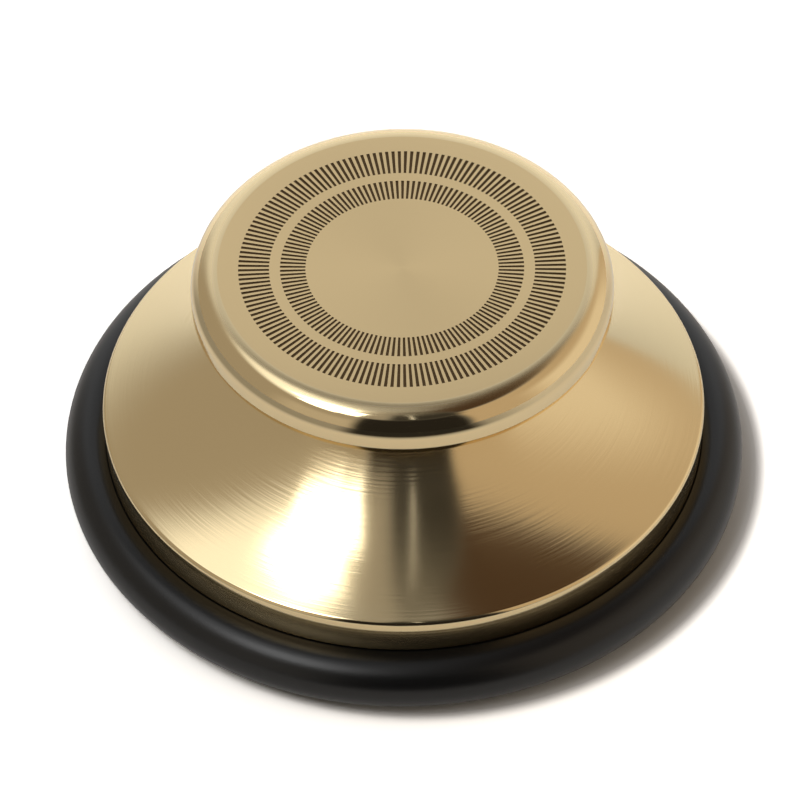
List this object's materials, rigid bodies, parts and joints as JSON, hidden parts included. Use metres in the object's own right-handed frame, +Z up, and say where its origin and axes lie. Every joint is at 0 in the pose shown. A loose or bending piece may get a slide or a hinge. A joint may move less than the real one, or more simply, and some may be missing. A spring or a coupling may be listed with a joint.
{
  "type": "record spindle adapter",
  "caption": "Turned brass body with a flared flank, a rounded grip cap and a rubber ring round its foot, which centres a wide-hole record on a thin turntable spindle.",
  "frame": {"origin": "centre of the flat underside that stands on the platter", "axes": "+Z up along the spindle axis, +Y away from the viewer of the picture"},
  "size_m": [0.038, 0.038, 0.016],
  "materials": {
    "brass": "polished cap edge, circularly brushed flank, satin top face",
    "rubber": "satin black rubber"
  },
  "bodies": {
    "root": {"turned_body": "brass", "rubber_ring": "rubber"}
  },
  "joints": []
}
